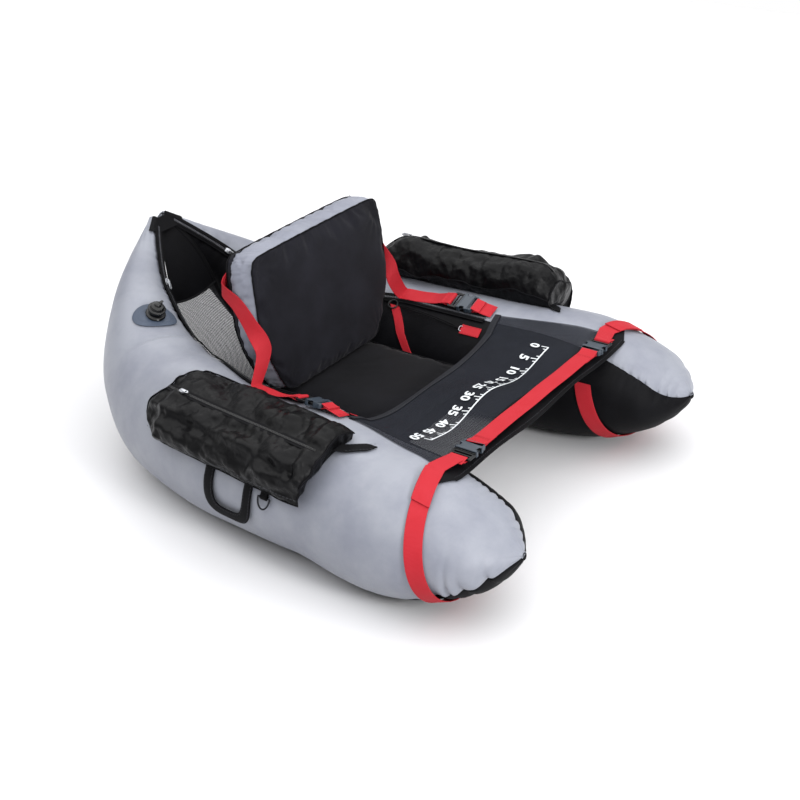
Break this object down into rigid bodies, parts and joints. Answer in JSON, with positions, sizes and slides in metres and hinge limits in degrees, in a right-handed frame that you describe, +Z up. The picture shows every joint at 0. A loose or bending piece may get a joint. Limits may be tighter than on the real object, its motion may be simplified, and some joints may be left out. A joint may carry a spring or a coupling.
{
  "type": "float tube",
  "caption": "Inflatable V-shaped fishing float tube with hung seat, folding backrest, mesh apron on buckled straps, side bags and valves.",
  "frame": {"origin": "on the floor under the middle of the hull", "axes": "+Z up; the open front faces -Y and the stern +Y; x = 0 is the plane of symmetry, the angler's left is +X"},
  "size_m": [1.0886, 1.2335, 0.5312],
  "materials": {
    "black_net": "open polyester mesh",
    "black_nylon": "coated polyester, matt",
    "black_plastic": "moulded",
    "black_webbing": "woven tape",
    "bladder_film": "coated film",
    "buckle_plastic": "moulded",
    "foam": "soft foam",
    "grey_hem": "bound tape",
    "hull_nylon": "coated polyester, satin",
    "red_webbing": "woven webbing",
    "valve_patch": "welded coated fabric",
    "zinc": "cast metal"
  },
  "bodies": {
    "hull": {"apron_front_binding": "black_webbing", "apron_mesh": "black_net", "apron_rear_hem": "grey_hem", "front_strap": "red_webbing", "left_air_bladder": "bladder_film", "left_apron_tab": "red_webbing", "left_back_buckle_socket": "buckle_plastic", "left_back_strap": "red_webbing", "left_back_strap_end": "red_webbing", "left_bag": "black_nylon", "left_elastic_cord": "black_webbing", "left_front_buckle_socket": "buckle_plastic", "left_hull_cover_lower": "black_nylon", "left_hull_cover_upper": "hull_nylon", "left_main_zip": "black_webbing", "left_main_zip_slider": "zinc", "left_ring_keeper": "black_webbing", "left_seat_strap": "red_webbing", "left_strap_ring": "black_plastic", "left_valve_body": "black_plastic", "left_valve_patch": "valve_patch", "left_wrap_strap": "red_webbing", "right_air_bladder": "bladder_film", "right_apron_tab": "red_webbing", "right_back_buckle_socket": "buckle_plastic", "right_back_strap": "red_webbing", "right_back_strap_end": "red_webbing", "right_bag": "black_nylon", "right_elastic_cord": "black_webbing", "right_front_buckle_socket": "buckle_plastic", "right_hull_cover_lower": "black_nylon", "right_hull_cover_upper": "hull_nylon", "right_main_zip": "black_webbing", "right_main_zip_slider": "zinc", "right_ring_keeper": "black_webbing", "right_seat_strap": "red_webbing", "right_strap_ring": "black_plastic", "right_valve_body": "black_plastic", "right_valve_patch": "valve_patch", "right_wrap_strap": "red_webbing", "seat_base": "black_nylon", "seat_cushion": "black_nylon", "stern_net": "black_net", "stern_tip_patch": "black_webbing"},
    "backrest": {"backrest_border": "hull_nylon", "backrest_core": "foam", "backrest_front_panel": "black_nylon", "backrest_rear_panel": "black_nylon"},
    "left_front_plug": {"left_front_buckle_plug": "black_plastic"},
    "left_back_plug": {"left_back_buckle_plug": "black_plastic"},
    "left_valve_screw_cap": {"left_valve_cap": "black_plastic"},
    "left_bag_slider": {"left_bag_zip_slider": "zinc"},
    "left_handle": {"left_carry_handle": "black_webbing"},
    "left_ring": {"left_d_ring": "zinc"},
    "right_front_plug": {"right_front_buckle_plug": "black_plastic"},
    "right_back_plug": {"right_back_buckle_plug": "black_plastic"},
    "right_valve_screw_cap": {"right_valve_cap": "black_plastic"},
    "right_bag_slider": {"right_bag_zip_slider": "zinc"},
    "right_handle": {"right_carry_handle": "black_webbing"},
    "right_ring": {"right_d_ring": "zinc"}
  },
  "joints": [
    {"name": "backrest_fold", "type": "hinge", "parent": "hull", "child": "backrest", "pos_m": [0, 0.092, 0.20911], "axis": [1, 0, 0], "range_deg": [0, 70], "deforming": ["left_back_strap", "right_back_strap"]},
    {"name": "left_front_buckle_release", "type": "slide", "parent": "hull", "child": "left_front_plug", "axis": [1, 0, 0], "range_m": [0, 0.028], "deforming": ["left_wrap_strap"]},
    {"name": "left_back_buckle_release", "type": "slide", "parent": "hull", "child": "left_back_plug", "axis": [0, 1, 0], "range_m": [0, 0.028], "deforming": ["left_back_strap"]},
    {"name": "left_valve_unscrew", "type": "hinge", "parent": "hull", "child": "left_valve_screw_cap", "pos_m": [0.21669, 0.42635, 0.34276], "axis": [0.1038, -0.4047, 0.9086], "range_deg": [0, 540]},
    {"name": "left_bag_unzip", "type": "slide", "parent": "hull", "child": "left_bag_slider", "axis": [0.1159, -0.9932, -0.0077], "range_m": [0, 0.33]},
    {"name": "left_handle_swing", "type": "hinge", "parent": "hull", "child": "left_handle", "pos_m": [0.49756, 0.00215, 0.19203], "axis": [0.0774, -0.997, 0], "range_deg": [0, 80]},
    {"name": "left_d_ring_swing", "type": "hinge", "parent": "hull", "child": "left_ring", "pos_m": [0.51246, -0.0993, 0.17993], "axis": [0.0699, -0.9975, 0.0063], "range_deg": [0, 80]},
    {"name": "right_front_buckle_release", "type": "slide", "parent": "hull", "child": "right_front_plug", "axis": [-1, 0, 0], "range_m": [0, 0.028], "deforming": ["right_wrap_strap"]},
    {"name": "right_back_buckle_release", "type": "slide", "parent": "hull", "child": "right_back_plug", "axis": [0, 1, 0], "range_m": [0, 0.028], "deforming": ["right_back_strap"]},
    {"name": "right_valve_unscrew", "type": "hinge", "parent": "hull", "child": "right_valve_screw_cap", "pos_m": [-0.21669, 0.42635, 0.34276], "axis": [-0.1038, -0.4047, 0.9086], "range_deg": [0, 540]},
    {"name": "right_bag_unzip", "type": "slide", "parent": "hull", "child": "right_bag_slider", "axis": [-0.1115, -0.9937, -0.0071], "range_m": [0, 0.31]},
    {"name": "right_handle_swing", "type": "hinge", "parent": "hull", "child": "right_handle", "pos_m": [-0.49756, 0.00215, 0.19203], "axis": [0.0774, 0.997, 0], "range_deg": [0, 80]},
    {"name": "right_d_ring_swing", "type": "hinge", "parent": "hull", "child": "right_ring", "pos_m": [-0.51246, -0.0993, 0.17993], "axis": [0.0699, 0.9975, -0.0063], "range_deg": [0, 80]}
  ]
}
